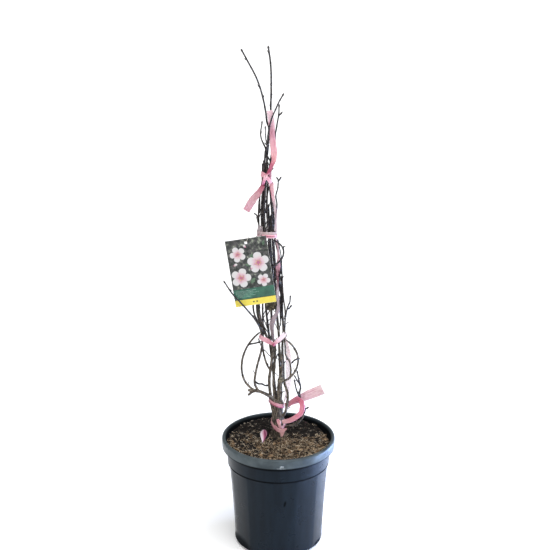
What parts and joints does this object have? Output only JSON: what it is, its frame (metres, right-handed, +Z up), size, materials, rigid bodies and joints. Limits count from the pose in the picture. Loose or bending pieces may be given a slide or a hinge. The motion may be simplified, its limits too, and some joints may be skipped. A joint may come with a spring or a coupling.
{
  "type": "potted magnolia tree",
  "caption": "Young bare magnolia in a nursery pot, its upright stems bound into a slim bundle with ribbon tape and hung with a picture label.",
  "frame": {"origin": "centre of the pot's flat underside, on the ground", "axes": "+Z up along the stems, -Y towards the front, the side that the label faces, +X to the right of that view"},
  "size_m": [0.28, 0.28, 1.2464],
  "materials": {
    "pot": "satin",
    "mulch": "rough",
    "bark": "matte",
    "twigs": "matte",
    "tape": "satin",
    "label": "satin",
    "thread": "matte",
    "petal": "satin",
    "dead_leaf": "matte"
  },
  "bodies": {
    "root": {"bough_left": "bark", "dead_leaf": "dead_leaf", "end_foot": "tape", "knot_foot": "tape", "label_card": "label", "label_thread": "thread", "loop_left_lower": "bark", "loop_left_upper": "bark", "loop_lower": "tape", "loop_right_lower": "bark", "loop_right_upper": "bark", "loop_small": "bark", "petal": "petal", "pot": "pot", "root_ball": "mulch", "run_lower": "tape", "run_middle": "tape", "run_upper": "tape", "shoot_low_right": "bark", "stem_back_left": "bark", "stem_back_right": "bark", "stem_cut": "bark", "stem_far_left": "bark", "stem_far_right": "bark", "stem_front": "bark", "stem_front_left": "bark", "stem_left": "bark", "stem_left_inner": "bark", "stem_middle": "bark", "stem_right": "bark", "strip_top": "tape", "tail_lower": "tape", "tail_top": "tape", "tie_lower": "tape", "tie_middle": "tape", "tie_top": "tape", "tie_upper": "tape", "trunk": "bark", "twigs_back_low": "twigs", "twigs_back_middle": "twigs", "twigs_back_top": "twigs", "twigs_label_left": "twigs", "twigs_loop_left": "twigs", "twigs_loop_right": "twigs", "twigs_low_left": "twigs", "twigs_low_right": "twigs", "twigs_middle_right": "twigs", "twigs_top_inner": "twigs", "twigs_top_left": "twigs", "twigs_top_middle": "twigs", "twigs_top_right": "twigs", "twigs_upper_right": "twigs", "wrap_foot": "tape"}
  },
  "joints": []
}
